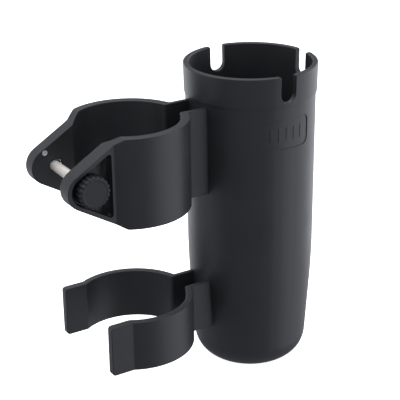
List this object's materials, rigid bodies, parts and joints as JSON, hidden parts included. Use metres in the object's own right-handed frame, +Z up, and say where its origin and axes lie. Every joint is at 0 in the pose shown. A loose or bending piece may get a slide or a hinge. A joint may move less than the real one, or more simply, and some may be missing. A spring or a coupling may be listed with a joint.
{
  "type": "post clamp cup holder",
  "caption": "Deep black cup with a slotted rim, held to a round post by a thumb screw clamp ring above and an open snap hook below.",
  "frame": {"origin": "on the post's axis, at the middle of the clamp ring's height", "axes": "+Z up along the post, +X from the post to the cup, so the clamp ears point to -X; the thumb screw's knob is on the -Y side"},
  "size_m": [0.1754, 0.0794, 0.1924],
  "materials": {
    "moulding": "satin black moulded plastic",
    "knob": "matte black moulded plastic",
    "screw_steel": "warm zinc plated",
    "fastener_steel": "bright zinc plated"
  },
  "bodies": {
    "holder": {"cup_shell": "moulding", "rim_collar": "moulding", "upper_plate_front": "moulding", "upper_plate_back": "moulding", "lower_plate_front": "moulding", "lower_plate_back": "moulding"},
    "jaw_front": {"jaw_front": "moulding"},
    "jaw_back": {"jaw_back": "moulding", "spring_pin": "fastener_steel"},
    "thumb_screw": {"thumb_knob": "knob", "screw_shank": "screw_steel"},
    "nut": {"hex_nut": "fastener_steel"},
    "hook_front": {"hook_front": "moulding"},
    "hook_back": {"hook_back": "moulding"}
  },
  "joints": [
    {"name": "jaw_front_close", "type": "hinge", "parent": "holder", "child": "jaw_front", "pos_m": [0.02985, -0.01521, 0], "axis": [0, 0, -1], "range_deg": [0, 3]},
    {"name": "jaw_back_close", "type": "hinge", "parent": "holder", "child": "jaw_back", "pos_m": [0.02985, 0.01521, 0], "axis": [0, 0, 1], "range_deg": [0, 3]},
    {"name": "thumb_screw_turn", "type": "hinge", "parent": "jaw_front", "child": "thumb_screw", "pos_m": [-0.0375, 0, 0], "axis": [0, 1, 0], "range_deg": [0, 2358]},
    {"name": "nut_run", "type": "slide", "parent": "jaw_front", "child": "nut", "axis": [0, -1, 0], "range_m": [0, 0.00656]},
    {"name": "hook_front_spread", "type": "hinge", "parent": "holder", "child": "hook_front", "pos_m": [0.03056, -0.01557, -0.1001], "axis": [0, 0, 1], "range_deg": [0, 5], "stiffness_Nm_per_rad": 12},
    {"name": "hook_back_spread", "type": "hinge", "parent": "holder", "child": "hook_back", "pos_m": [0.03056, 0.01557, -0.1001], "axis": [0, 0, -1], "range_deg": [0, 5], "stiffness_Nm_per_rad": 12}
  ],
  "couplings": [
    {"joint": "jaw_back_close", "follows": "jaw_front_close", "ratio": 1},
    {"joint": "thumb_screw_turn", "follows": "jaw_front_close", "ratio": 785.4},
    {"joint": "nut_run", "follows": "jaw_front_close", "m_per_rad": 0.125}
  ]
}
